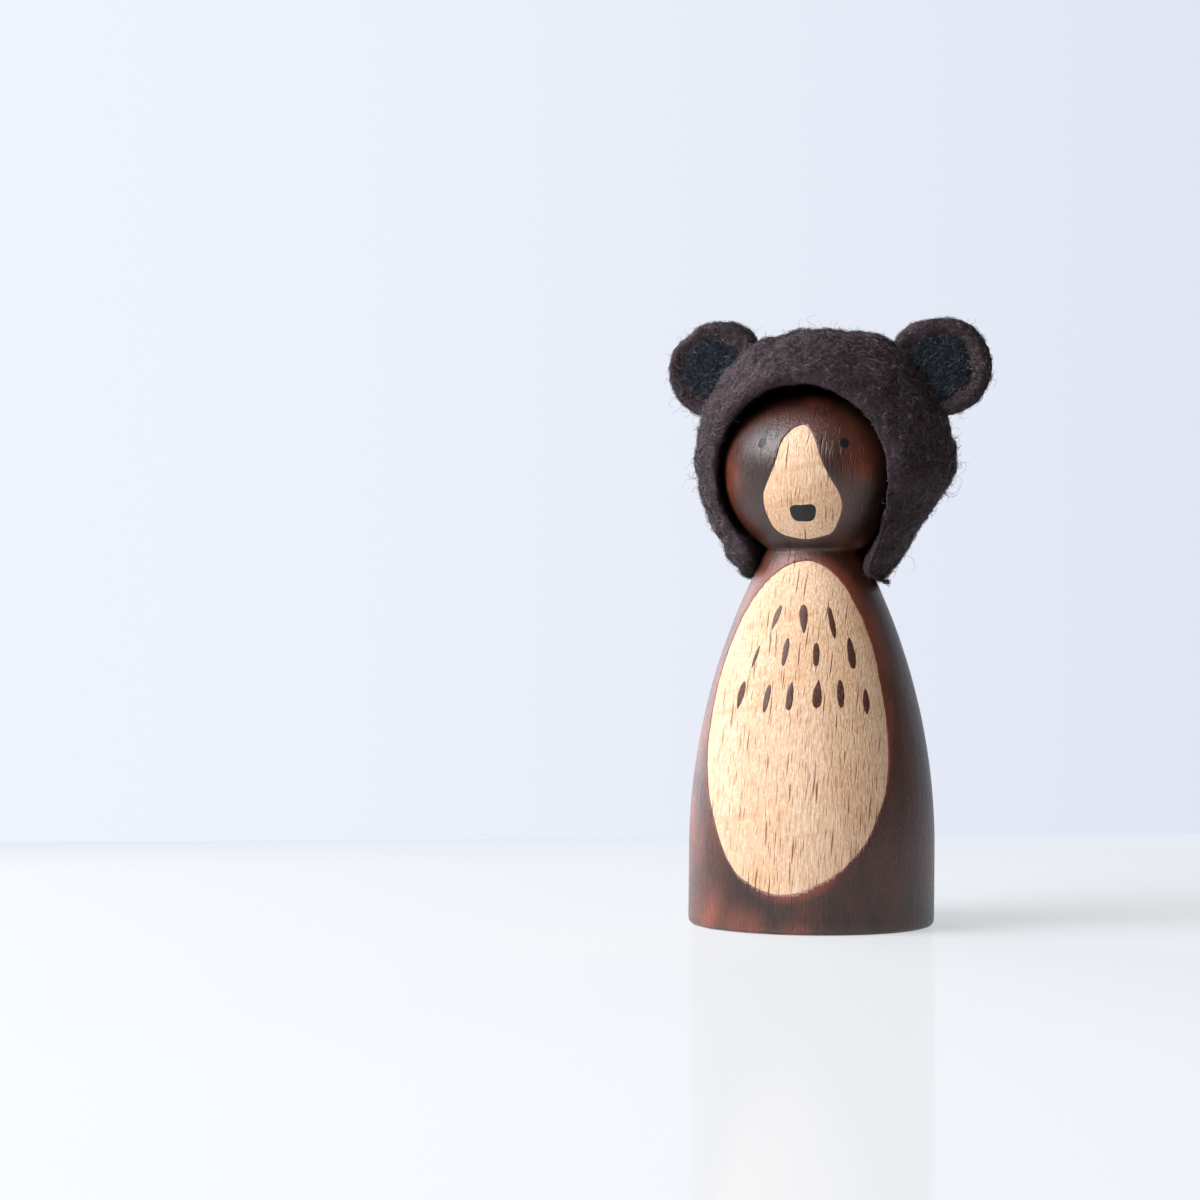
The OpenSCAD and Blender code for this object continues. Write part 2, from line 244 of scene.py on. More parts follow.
# Heights of the rings of points, evenly spaced along the peg's outline from the base edge to the crown
fine = np.concatenate([base_edge * (1 - np.cos(np.linspace(0, math.pi / 2, 40))),
                       np.linspace(base_edge, head_h, 1600)[1:],
                       head_h + head_crown * np.sin(np.linspace(0, math.pi / 2, 500))[1:]])
fine_r = peg_radius(fine)
fine_r[0], fine_r[-1] = base_r - base_edge, 0
walked = np.concatenate([[0], np.cumsum(np.hypot(np.diff(fine), np.diff(fine_r)))])
row_count = int(walked[-1] / row_step)
rows = np.linspace(0, walked[-1], row_count + 1)[:-1]
row_z = np.interp(rows, walked, fine)
row_r = np.interp(rows, walked, fine_r)
turns = np.linspace(-math.pi, math.pi, peg_columns, endpoint=False)
grid_turn, grid_z = np.meshgrid(turns, row_z)
grid_r = np.repeat(row_r[:, None], peg_columns, axis=1)


def ring_faces(first, second):
    """Quads between two rings of points, given where each ring starts."""
    return [(first + j, first + (j + 1) % peg_columns, second + (j + 1) % peg_columns, second + j)
            for j in range(peg_columns)]


under_shares = (0.75, 0.5, 0.25)
under_ring = np.stack([np.sin(turns), -np.cos(turns), 0 * turns], 1) * row_r[0]
peg_points = np.concatenate([on_peg(grid_turn, grid_z, grid_r),
                             *(under_ring * share for share in under_shares),
                             [[0, 0, head_h + head_crown], [0, 0, 0]]])
peg_faces = []
for i in range(row_count - 1):
    peg_faces += ring_faces(i * peg_columns, (i + 1) * peg_columns)
last = (row_count - 1) * peg_columns
peg_faces += [(last + j, last + (j + 1) % peg_columns, len(peg_points) - 2) for j in range(peg_columns)]
under_starts = [0] + [(row_count + i) * peg_columns for i in range(len(under_shares))]
for outer, inner in zip(under_starts, under_starts[1:]):
    peg_faces += ring_faces(inner, outer)
last = under_starts[-1]
peg_faces += [(last + (j + 1) % peg_columns, last + j, len(peg_points) - 1) for j in range(peg_columns)]
add_piece("turned_peg", peg_points, peg_faces, bare_beech, "peg", "bare_beech", "peg")

# The brown coat: a thin water-based stain, brushed on by hand round the belly and the muzzle.
# It soaks in, so it stands only a hair above the wood, with a crisp edge that wavers with the brush.
coat_lift = 0.035
coat_depth = 0.07
edge_waver = 0.07
belly_turn = math.radians(-2.5)
belly_low, belly_mid, belly_top, belly_half = 5.7, 26.6, 52.0, 13.05
# How far the brush strayed out from an even egg, at degrees round the belly from the doll's left over its top
belly_strays = ((0, -0.3), (20, -1.0), (40, -1.1), (55, -0.9), (70, -0.3), (85, 0.1), (100, -0.3),
                (115, -0.7), (130, -0.75), (150, -0.6), (165, -0.3), (180, 0.0), (215, 0.2), (235, 0.8),
                (250, 0.4), (270, 0.0), (290, -0.3), (305, 0.2), (320, 0.6), (340, 0.45))
# The muzzle's outline: heights over the middle of the head, and how far it reaches to the image's two sides
muzzle_heights = (6.3, 5.5, 3.8, 1.4, -1.0, -3.4, -5.6, -7.6, -9.0, -9.65)
muzzle_left = (-0.3, -1.7, -2.88, -3.49, -4.46, -5.46, -5.3, -4.55, -3.2, -0.6)
muzzle_right = (0.35, 1.2, 2.05, 2.92, 4.08, 5.4, 5.5, 4.7, 3.5, 0.9)
# Where the stain is thin and red, each with its reach: low on the right side, at the foot, on the doll's
# right side, at the head's right edge, beside the muzzle, at the neck and on the brow. The two on the doll's
# right side
# are also painted sheen: they make the stain lighter and redder where the windows light it. The ones at the
# head's right edge and on the brow are also a painted red glow, where light grazes the head beside the
# bonnet's shadow.
thin_and_lit_patches = (((-13.8, -10.6, 2.0), 9.0), ((-7.5, -15.8, -1.0), 7.0), ((1.0, -17.4, -1.5), 5.0),
                ((-16.6, -4.5, 13.0), 12.0), ((-15.5, -5.0, 27.0), 10.0), ((-11.8, -5.4, 63.5), 6.5),
                ((8.2, -9.8, 66.0), 5.0), ((8.3, -3.4, 53.2), 4.0), ((-8.6, -5.0, 52.0), 5.0),
                ((1.5, -7.0, 76.0), 4.5))

# The stain lets the wood show: nearly black brown where it pooled and red brown where it was wiped thin,
# above all along the bare belly, with a soft gloss broken up by the raised grain. Towards the windows some of
# its red brown is painted light: painted sheen on the body's side and a painted glow at the head's edge.
# The size of its thin clouds, its brush strokes and the raised grain's ridges, the share of its half width
# that the bare belly sits to the doll's right, and how deep the stain's pattern is
cloud_size, stroke_size, ridge_size = (5, 5, 9), (8, 8, 20), (0.2, 0.2, 2.0)
belly_shift = 0.047
stain_depth = 0.1
brown_stain, shader, place = new_material("brushed_brown_wood_stain", 0.45, 1.5)
large, small, fibres, specks = beech_grain(brown_stain, place)
# Thin stain in the listed patches, with painted sheen and glow in those that face the windows
worn_and_lit = 0.0
for spot, reach in thin_and_lit_patches:
    away = add_node(brown_stain, "VectorMath", (place, spot), "Value", operation="DISTANCE")
    near = add_node(brown_stain, "MapRange", (away, reach, reach * 0.1, 0.0, 1.0),
                    interpolation_type="SMOOTHSTEP")
    worn_and_lit = add_node(brown_stain, "Math", (near, worn_and_lit), operation="MAXIMUM")
# A red fringe along the bare belly, which fades out a tenth of the belly's size beyond its even egg
sides = add_node(brown_stain, "SeparateXYZ", (place,)).node
across = add_node(brown_stain, "Math", (sides.outputs[0], 1 / belly_half, belly_shift),
                  operation="MULTIPLY_ADD")
rise = add_node(brown_stain, "Math", (sides.outputs[2], belly_mid), operation="SUBTRACT")
above = add_node(brown_stain, "Math", (rise, 0), operation="MAXIMUM")
below = add_node(brown_stain, "Math", (rise, 0), operation="MINIMUM")
above = add_node(brown_stain, "Math", (above, belly_top - belly_mid), operation="DIVIDE")
egg = add_node(brown_stain, "Math", (below, 1 / (belly_mid - belly_low), above), operation="MULTIPLY_ADD")
egg = add_node(brown_stain, "CombineXYZ", (across, egg))
from_belly = add_node(brown_stain, "VectorMath", (egg,), "Value", operation="LENGTH")
fringe = add_node(brown_stain, "MapRange", (from_belly, 1.1, 1.0, 0.0, 0.9), interpolation_type="SMOOTHSTEP")
in_front = add_node(brown_stain, "MapRange", (sides.outputs[1], -2.0, -5.0, 0.0, 1.0))
fringe = add_node(brown_stain, "Math", (fringe, in_front), operation="MULTIPLY")
worn_and_lit = add_node(brown_stain, "Math", (worn_and_lit, fringe), operation="MAXIMUM")
patches = add_node(brown_stain, "VectorMath", (place, cloud_size), operation="DIVIDE")
patches = add_node(brown_stain, "TexNoise", {"Vector": patches, "Scale": 1.0, "Detail": 3.0})
patches = add_node(brown_stain, "MapRange", (patches, 0.36, 0.6, 0.45, 1.0))
worn_and_lit = add_node(brown_stain, "Math", (worn_and_lit, patches), operation="MULTIPLY")
# Brush strokes, and the fibres between which the stain was wiped off or soaked in
strokes = add_node(brown_stain, "VectorMath", (place, stroke_size), operation="DIVIDE")
strokes = add_node(brown_stain, "TexNoise", {"Vector": strokes, "Scale": 1.0, "Detail": 4.0})
# Thin stain, together with the painted sheen and glow on the side towards the windows
thin_and_lit = add_node(brown_stain, "MapRange", (strokes, 0.42, 0.72, 0.0, 0.4))
thin_and_lit = add_node(brown_stain, "Math", (thin_and_lit, worn_and_lit), operation="MAXIMUM")
wiped = add_node(brown_stain, "MapRange", (fibres, 0.3, 0.6, 0.5, 1.0))
thin_and_lit = add_node(brown_stain, "Math", (thin_and_lit, wiped), operation="MULTIPLY")
stain = add_node(brown_stain, "Mix", {0: thin_and_lit, 6: srgb("#2c1811"), 7: srgb("#964d36")}, 2, data_type="RGBA")
soaked = add_node(brown_stain, "MapRange", (fibres, 0.52, 0.78, 0.0, 0.6))
stain = add_node(brown_stain, "Mix", {0: soaked, 6: stain, 7: srgb("#190e0a")}, 2, data_type="RGBA")
slits = add_node(brown_stain, "Math", (small, 0.7), operation="MULTIPLY")
slits = add_node(brown_stain, "Math", (slits, large), operation="MAXIMUM")
slits = add_node(brown_stain, "Math", (slits, 0.6), operation="MULTIPLY")
stain = add_node(brown_stain, "Mix", {0: slits, 6: stain, 7: srgb("#1c100c")}, 2, data_type="RGBA")
# Water raises the grain into fine ridges, which break up the gloss
ridges = add_node(brown_stain, "VectorMath", (place, ridge_size), operation="DIVIDE")
ridges = add_node(brown_stain, "TexNoise", {"Vector": ridges, "Scale": 1.0, "Detail": 3.0, "Roughness": 0.6})
height = add_node(brown_stain, "Math", (specks, 0.4, ridges), operation="MULTIPLY_ADD")
height = add_node(brown_stain, "Math", (slits, -0.7, height), operation="MULTIPLY_ADD")
finish_surface(brown_stain, shader, stain, height, 1.0, stain_depth)
gloss = add_node(brown_stain, "MapRange", (specks, 0.3, 0.7, 0.3, 0.44))
brown_stain.node_tree.links.new(gloss, shader.inputs["Roughness"])
shader.inputs["Specular IOR Level"].default_value = 0.8


def wavering(outline, seed):
    """A closed outline of front-view points, moved in and out a little as a brush does."""
    outline = np.asarray(outline, float)
    ahead = np.roll(outline, -1, 0) - np.roll(outline, 1, 0)
    side = np.stack([-ahead[:, 1], ahead[:, 0]], 1) / np.linalg.norm(ahead, axis=1)[:, None]
    flat = np.concatenate([outline, np.full((len(outline), 1), 3.7 * seed)], 1)
    push = edge_waver * (soft_noise(flat, (1.6,) * 3, seed) + 0.5 * soft_noise(flat, (0.7,) * 3, seed))
    return outline + side * push[:, None]


def smooth_through(points, steps, closed=True):
    """A curve that runs smoothly through each point, closed or open."""
    points = np.asarray(points, float)
    if closed:
        row = np.concatenate([points[-1:], points, points[:2]])
    else:
        row = np.concatenate([2 * points[:1] - points[1:2], points, 2 * points[-1:] - points[-2:-1]])
    a, b, c, d = row[:-3], row[1:-2], row[2:-1], row[3:]
    parts = [(2 * b + (c - a) * t + (2 * a - 5 * b + 4 * c - d) * t ** 2
              + (3 * b - a - 3 * c + d) * t ** 3) / 2
             for t in np.linspace(0, 1, steps, endpoint=False)]
    curve = np.stack(parts, 1).reshape(-1, points.shape[1])
    return curve if closed else np.concatenate([curve, points[-1:]])


def turned_to(outline, turn):
    """A front-view outline on the peg, turned round it: each point as its angle and height."""
    across = np.clip(outline[:, 0] / peg_radius(outline[:, 1]), -0.999, 0.999)
    return np.stack([np.arcsin(across) + turn, outline[:, 1]], 1)


def inside(outline, points):
    """Whether each point lies in a closed outline."""
    found = np.zeros(len(points), bool)
    for (xa, ya), (xb, yb) in zip(outline, np.roll(outline, -1, 0)):
        spans = (ya > points[:, 1]) != (yb > points[:, 1])
        if spans.any():
            found ^= spans & (points[:, 0] < (xb - xa) * (points[:, 1] - ya) / (yb - ya) + xa)
    return found


around = np.linspace(0, 2 * math.pi, 240, endpoint=False)
belly_rise = np.where(np.sin(around) < 0, belly_mid - belly_low, belly_top - belly_mid)
belly_outline = np.stack([np.cos(around) * belly_half, belly_mid + np.sin(around) * belly_rise], 1)
strays = np.interp(np.degrees(around), *np.transpose(belly_strays), period=360)
belly_outline += np.stack([np.cos(around), np.sin(around)], 1) * strays[:, None]
muzzle_points = list(zip(muzzle_left, muzzle_heights)) + list(zip(muzzle_right, muzzle_heights))[::-1]
muzzle_outline = smooth_through(np.array(muzzle_points) + (0, head_h), 10)
painted_edges = (turned_to(wavering(belly_outline, 3), belly_turn),
                 turned_to(wavering(muzzle_outline, 4), 0.0))


def left_bare(spots):
    """Whether places on the peg, as angles and heights, lie in the bare belly or muzzle."""
    return inside(painted_edges[0], spots) | inside(painted_edges[1], spots)


# Where a line of the grid crosses a painted edge, the nearer of its two points is drawn onto that edge,
# so that the coat ends exactly there
spots = np.stack([grid_turn.ravel(), grid_z.ravel()], 1)
bare = left_bare(spots)
moved_by = np.ones(len(spots))
coat_spots = spots.copy()
numbers = np.arange(len(spots)).reshape(grid_turn.shape)
for first, second in ((numbers[:-1].ravel(), numbers[1:].ravel()),
                      (numbers[:, :-1].ravel(), numbers[:, 1:].ravel())):
    crossed = bare[first] != bare[second]
    first, second = first[crossed], second[crossed]
    low, high = np.zeros(len(first)), np.ones(len(first))
    for _ in range(12):
        half = (low + high) / 2
        between = spots[first] + (spots[second] - spots[first]) * half[:, None]
        same = left_bare(between) == bare[first]
        low, high = np.where(same, half, low), np.where(same, high, half)
    for a, b, share, spot in zip(first, second, half, between):
        nearer, gap = (a, share) if share < 0.5 else (b, 1 - share)
        if gap < moved_by[nearer]:
            moved_by[nearer] = gap
            coat_spots[nearer] = spot
on_edge = moved_by < 1
coat_r = np.where(on_edge, peg_radius(coat_spots[:, 1]), grid_r.ravel())
coat_points = np.concatenate([on_peg(*coat_spots.T, coat_r, coat_lift),
                              [[0, 0, head_h + head_crown + coat_lift]]])
coat_faces, edge_faces = [], []
for i in range(1, row_count - 1):
    for quad in ring_faces(i * peg_columns, (i + 1) * peg_columns):
        corners = list(quad)
        if on_edge[corners].any():
            a, b, c, d = corners if on_edge[quad[0]] and on_edge[quad[2]] else corners[1:] + corners[:1]
            edge_faces += [(a, b, c), (a, c, d)]
        elif not bare[corners].any():
            coat_faces.append(quad)
edge_faces = np.array(edge_faces)
kept = ~(bare & ~on_edge)[edge_faces].any(1) & ~left_bare(coat_spots[edge_faces].mean(1))
coat_faces += [tuple(f) for f in edge_faces[kept]]
last = (row_count - 1) * peg_columns
coat_faces += [(last + j, last + (j + 1) % peg_columns, len(coat_points) - 1) for j in range(peg_columns)]
used = np.unique(np.concatenate([np.array(f) for f in coat_faces]))
renumbered = np.full(len(coat_points), -1)
renumbered[used] = np.arange(len(used))
coat_faces = [tuple(int(renumbered[k]) for k in f) for f in coat_faces]
brushed_coat = add_piece("brushed_brown_coat", coat_points[used], coat_faces, brown_stain, "peg",
                         "brown_stain", "brown_coat")
film = brushed_coat.modifiers.new("film", "SOLIDIFY")
film.thickness = coat_depth * MM
film.offset = -1

# Nose, eyes and fur marks: acrylic paint dabbed on by hand with a small brush.
# Each dab is a little crowned, and sinks to nothing at its edge.
paint_lift = 0.05
# Rings of a dab from its middle to its edge and under it: share of its outline, and of its lift
dab_rings = ((0.0, 1.0), (0.45, 0.97), (0.8, 0.85), (0.95, 0.55), (1.0, 0.15), (1.0, -1.0), (0.5, -1.0))
eye_turn = 28.5
eye_rise = 3.8
left_eye_r, right_eye_r = 0.68, 0.58
# An eye's height as a share of its width, and how far its outline strays
eye_taller, eye_waver = 1.12, 0.05
nose_drop, nose_turn = 6.0, 1.2
nose_half, nose_rise = 1.85, 1.2
# How far a fur mark's outline strays sideways and along it, and how far apart its waves are
mark_waver, mark_wave = (0.07, 0.05), (0.4, 0.4, 0.4)
# The spots that the brown paint misses, the black paint's strokes, and how deep the paint's pattern is
missed_size, dabbed_size = (0.16, 0.16, 0.9), (0.35, 0.35, 0.8)
paint_depth = 0.06
nose_shares = ((0, -1.0), (0.45, -0.98), (0.78, -0.72), (0.97, 0.0), (0.97, 0.6), (0.74, 0.98), (0.3, 0.97),
               (-0.2, 0.9), (-0.66, 0.92), (-0.96, 0.62), (-1.0, 0.1), (-0.84, -0.6), (-0.5, -0.95))

# Brown craft paint over raw wood, dabbed and left to dry: matt, and thin enough that the grain breaks it up.
brown_paint, shader, place = new_material("dabbed_brown_acrylic", 0.5, 1.48)
_, _, fibres, specks = beech_grain(brown_paint, place)
missed = add_node(brown_paint, "VectorMath", (place, missed_size), operation="DIVIDE")
missed = add_node(brown_paint, "TexNoise", {"Vector": missed, "Scale": 1.0, "Detail": 3.0})
missed = add_node(brown_paint, "MapRange", (missed, 0.54, 0.66, 0.0, 0.5))
thickness = add_node(brown_paint, "MapRange", (specks, 0.3, 0.7))
paint = add_node(brown_paint, "Mix", {0: thickness, 6: srgb("#3a211a"), 7: srgb("#573529")}, 2,
                 data_type="RGBA")
paint = add_node(brown_paint, "Mix", {0: missed, 6: paint, 7: srgb("#916850")}, 2, data_type="RGBA")
finish_surface(brown_paint, shader, paint, fibres, 0.7, paint_depth)

# Black craft paint, thicker on the nose: blue black and satin.
black_paint, shader, place = new_material("dabbed_black_acrylic", 0.5, 1.48)
strokes = add_node(black_paint, "VectorMath", (place, dabbed_size), operation="DIVIDE")
strokes = add_node(black_paint, "TexNoise", {"Vector": strokes, "Scale": 1.0, "Detail": 3.0})
thickness = add_node(black_paint, "MapRange", (strokes, 0.35, 0.7))
paint = add_node(black_paint, "Mix", {0: thickness, 6: srgb("#080b0c"), 7: srgb("#161b1e")}, 2,
                 data_type="RGBA")
finish_surface(black_paint, shader, paint, strokes, 0.5, paint_depth)


def dab(outline, turn, z, base=0.0):
    """Points and faces of one closed dab of paint: an outline in millimetres about a place on the peg."""
    points, faces = [], []
    count = len(outline)
    for share, level in dab_rings:
        ring = np.asarray(outline) * max(share, 0.001)
        heights = z + ring[:, 1]
        radius = peg_radius(heights)
        points.append(on_peg(turn + ring[:, 0] / radius, heights, radius, base + paint_lift * level))
    for i in range(len(dab_rings) - 1):
        for j in range(count):
            k = (j + 1) % count
            faces.append((i * count + j, (i + 1) * count + j, (i + 1) * count + k, i * count + k))
    last = (len(dab_rings) - 1) * count
    faces.append(tuple(last + j for j in range(count))[::-1])
    faces.append(tuple(range(count)))
    return np.concatenate(points), faces


def brush_mark(length, width, lean, fullest, low_end, top_end, seed):
    """Outline of one stroke, from its low end up: fullest is where along it it is widest, and an end under
    a half is blunt, a half is round and one is pointed."""
    t = np.linspace(0, 1, 18)
    low = np.sin(math.pi / 2 * np.clip(t / fullest, 0, 1)) ** low_end
    top = np.sin(math.pi / 2 * np.clip((1 - t) / (1 - fullest), 0, 1)) ** top_end
    half = width / 2 * low * top
    right, left = (np.stack([side * half, (t - 0.5) * length], 1) for side in (1, -1))
    outline = np.concatenate([right, left[::-1][1:-1]])
    flat = np.concatenate([outline, np.full((len(outline), 1), 1.3 * seed)], 1)
    share = np.clip(outline[:, 1] / length + 0.5, 0, 1)
    outline[:, 0] += mark_waver[0] * soft_noise(flat, mark_wave, seed) * np.sin(math.pi * share)
    outline[:, 1] += mark_waver[1] * soft_noise(flat, mark_wave, seed + 1)
    tilt = math.radians(lean)
    return outline @ np.array([[math.cos(tilt), -math.sin(tilt)], [math.sin(tilt), math.cos(tilt)]])


# The thirteen fur marks in three rows, each with its angle round the peg, height, lean, length, width,
# where it is fullest, and how pointed its low and top ends are
fur_marks = (
    (-19, 44.0, 12, 3.7, 0.85, 0.6, 0.9, 0.5), (2, 43.9, -5, 4.1, 1.2, 0.66, 0.75, 0.45),
    (22.4, 43.4, -6, 4.5, 0.85, 0.35, 0.7, 0.35),
    (-29, 38.5, 11, 3.5, 0.6, 0.5, 0.8, 0.7), (-8.5, 39.3, 5, 4.0, 0.85, 0.55, 0.4, 0.5),
    (11, 39.0, 1, 3.3, 0.95, 0.45, 0.3, 0.3), (33.6, 39.2, -1, 4.5, 1.2, 0.4, 0.4, 0.6),
    (-34.4, 33.1, 6, 4.0, 1.25, 0.6, 0.75, 0.55), (-16.8, 32.8, 6, 4.0, 0.9, 0.6, 0.4, 0.45),
    (-3.4, 33.2, 4, 4.0, 0.95, 0.35, 0.3, 0.55), (11.7, 33.6, 5, 4.1, 1.35, 0.3, 0.45, 0.95),
    (24.6, 33.6, 1, 4.0, 1.05, 0.5, 0.5, 0.5), (39.4, 32.5, 3, 3.7, 1.1, 0.45, 0.85, 0.8))
mark_points, mark_faces = [], []
for number, (turn, z, lean, length, width, fullest, low_end, top_end) in enumerate(fur_marks):
    outline = brush_mark(length, width, lean, fullest, low_end, top_end, number)
    points, faces = dab(outline, math.radians(turn), z)
    start = sum(len(p) for p in mark_points)
    mark_points.append(points)
    mark_faces += [tuple(k + start for k in f) for f in faces]
add_piece("painted_fur_marks", np.concatenate(mark_points), mark_faces, brown_paint, "peg", "brown_paint",
          "chest_marks")
nose_outline = smooth_through(np.array(nose_shares) * (nose_half, nose_rise), 5)
points, faces = dab(nose_outline, math.radians(nose_turn), head_h - nose_drop)
add_piece("painted_nose", points, faces, black_paint, "peg", "black_paint", "nose")
for word, side, eye_r in (("left", 1, left_eye_r), ("right", -1, right_eye_r)):
    turn = around[::10]
    outline = eye_r * np.stack([np.cos(turn), eye_taller * np.sin(turn)], 1)
    outline += eye_waver * np.stack([np.sin(3 * turn + side), np.cos(2 * turn)], 1)
    points, faces = dab(outline, side * math.radians(eye_turn), head_h + eye_rise, coat_lift)
    add_piece(f"painted_{word}_eye", points, faces, black_paint, "peg", "black_paint", f"{word}_eye")

# The bonnet: merino wool, needle-felted into a thick shell that is open at the face and under the chin.
# Its outside is lumpy, its edge thick and round, and its inside hollow behind the edge.
bonnet_turn = 7.0
draw_tilt = 5.0
ball_place = (0.7, 2.8, 1.5)
mouth_front = 8.2
felt_voxel = 0.28
felt_rounds = 34
# How far the rim leans in at its front, at degrees round the face from the doll's left over its top
rim_leans = ((0, 0.7), (90, 0.55), (150, 1.1), (180, 1.2), (225, 1.0), (270, 0.0), (300, -2.2), (325, -0.6),
             (345, 0.5))
rim_depth = 5.2
# The ends of the two flaps: where they start, how much they are rounded before and after the felt's lumps
# are raised, and how far the doll's left one hangs lower
flap_top, flap_fade, flap_rounds, last_rounds = -8.5, 4.0, 110, 10
flap_drop = 1.5
# How far the outside stands out at the doll's right and left, by height over the middle of the head, and
# how far from the middle a place counts as fully on one side
side_from = 7.0
side_heights = (-14.0, -12.2, -10.0, -8.5, -5.0, -3.5, -1.5, 0.0)
right_swells = (-0.4, 0.8, 0.5, 0.8, 0.5, 0.5, 0.0, 0.0)
left_swells = (-1.6, -1.2, -1.1, -1.0, -1.4, -1.1, -0.3, 0.0)
# How far the felt stays off the wood, and how near the peg's axis it is left as it is
peg_gap, crown_middle = 0.25, 3.0
# Lumps of the felt: how far apart they are, and how high; the inside has them as hollows, this share as deep
inside_share = 0.5
lump_sizes = ((5.0, 0.45), (2.3, 0.32), (1.1, 0.22), (0.65, 0.13))
# Where the crown bulges most: places seen from the middle of the head, with how far and how wide
bulges = (((10.5, 3.0, 17.0), 1.0, 5.5), ((-8.5, 3.0, 16.5), 0.9, 5.0))
# Lines in the felt's surface: how long and wide they are, running three ways, and how high they stand
strand_sizes = ((0.5, 1.7, 0.5), (1.7, 0.5, 0.6), (0.5, 0.6, 1.7))
felt_depth = 0.42
turn_in = np.array(Matrix.Rotation(math.radians(bonnet_turn), 3, "Z"))


def in_bonnet(points):
    """Points seen from the bonnet: from the middle of the head, with its face opening towards -y."""
    return (points - (0, 0, head_h)) @ turn_in.T


def from_bonnet(points):
    """The way back from in_bonnet."""
    return points @ turn_in + (0, 0, head_h)


def held_clear(points):
    """Points that would lie in the peg, moved out level until they are just clear of it."""
    out = np.hypot(points[:, 0], points[:, 1])
    least = peg_radius(np.clip(points[:, 2], 0, head_h + head_crown)) + peg_gap
    grown = np.where(out > crown_middle, np.maximum(least / np.maximum(out, 1), 1), 1)
    return points * np.stack([grown, grown, np.ones(len(points))], 1)


def relaxed(points, edges, rounds, share=0.5):
    """Points drawn over and over by a share towards the mean of their neighbours, which rounds off edges."""
    count = np.bincount(edges.ravel(), minlength=len(points))
    for _ in range(rounds):
        sums = [np.bincount(edges[:, 0], points[edges[:, 1], k], len(points))
                + np.bincount(edges[:, 1], points[edges[:, 0], k], len(points)) for k in range(3)]
        points = points + share * (np.stack(sums, 1) / count[:, None] - points)
    return points


def evened(node, voxel):
    """A node's solid as an even mesh: its points in millimetres, faces and edges."""
    solid = bpy.data.objects.new(node + "_evened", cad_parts[node].data.copy())
    bpy.context.scene.collection.objects.link(solid)
    weld = solid.modifiers.new("weld", "WELD")
    weld.merge_threshold = 0.002 * MM
    even = solid.modifiers.new("even", "REMESH")
    even.mode = "VOXEL"
    even.voxel_size = voxel * MM
    made = bpy.data.meshes.new_from_object(solid.evaluated_get(bpy.context.evaluated_depsgraph_get()))
    points = np.array([v.co for v in made.vertices]) / MM
    faces = [tuple(p.vertices) for p in made.polygons]
    edges = np.array([e.vertices for e in made.edges])
    bpy.data.objects.remove(solid)
    bpy.data.meshes.remove(made)
    return points, faces, edges


def face_corners(faces):
    """Faces as rows of four corners, with a triangle's last corner twice."""
    return np.array([f if len(f) == 4 else (*f, f[-1]) for f in faces])


def normals_of(points, faces):
    """Unit normals at the points of a mesh."""
    corners = face_corners(faces)
    a, b, c, d = (points[corners[:, k]] for k in range(4))
    across = np.cross(c - a, d - b)
    total = np.stack([sum(np.bincount(corners[:, k], across[:, axis], len(points)) for k in range(4))
                      for axis in range(3)], 1)
    return total / np.maximum(np.linalg.norm(total, axis=1), 1e-9)[:, None]


def felted_wool(name, dark, light, glint, sheen, sheen_tint):
    """Needle-felted wool: matt and nearly black in the shade, with a dusty sheen from fine fibres that lie
    every way. The fibres are drawn coarser than the real ones, a tenth of a millimetre, so that they show."""
    wool, shader, place = new_material(name, 0.85, 1.45)
    wander = add_node(wool, "TexNoise", {"Vector": place, "Scale": 0.9, "Detail": 2.0}, 1)
    curled = add_node(wool, "VectorMath", (wander, (3, 3, 3), place), operation="MULTIPLY_ADD")
    strands = 0.0
    for size in strand_sizes:
        drawn_out = add_node(wool, "VectorMath", (curled, size), operation="DIVIDE")
        field = add_node(wool, "TexNoise", {"Vector": drawn_out, "Scale": 1.0, "Detail": 3.0,
                                            "Distortion": 1.2})
        off = add_node(wool, "Math", (field, 0.5), operation="SUBTRACT")
        off = add_node(wool, "Math", (off,), operation="ABSOLUTE")
        line = add_node(wool, "MapRange", (off, 0.045, 0.0, 0.0, 1.0), interpolation_type="SMOOTHSTEP")
        strands = add_node(wool, "Math", (line, strands), operation="MAXIMUM")
    fuzz = add_node(wool, "TexNoise", {"Vector": curled, "Scale": 3.2, "Detail": 5.0, "Roughness": 0.65,
                                       "Distortion": 1.5})
    patches = add_node(wool, "TexNoise", {"Vector": place, "Scale": 0.45, "Detail": 3.0})
    patches = add_node(wool, "MapRange", (patches, 0.35, 0.65, 0.4, 1.0))
    strands = add_node(wool, "Math", (strands, patches), operation="MULTIPLY")
    share = add_node(wool, "MapRange", (fuzz, 0.35, 0.7))
    colour = add_node(wool, "Mix", {0: share, 6: srgb(dark), 7: srgb(light)}, 2, data_type="RGBA")
    share = add_node(wool, "Math", (strands, 0.6), operation="MULTIPLY")
    colour = add_node(wool, "Mix", {0: share, 6: colour, 7: srgb(glint)}, 2, data_type="RGBA")
    height = add_node(wool, "Math", (strands, 0.8, fuzz), operation="MULTIPLY_ADD")
    finish_surface(wool, shader, colour, height, 1.0, felt_depth)
    shader.inputs["Specular IOR Level"].default_value = 0.1
    shader.inputs["Sheen Weight"].default_value = sheen
    shader.inputs["Sheen Roughness"].default_value = 0.35
    shader.inputs["Sheen Tint"].default_value = srgb(sheen_tint)
    return wool


brown_felt = felted_wool("needle_felted_brown_wool", "#060404", "#191213", "#51444a", 0.3, "#e8cbd6")

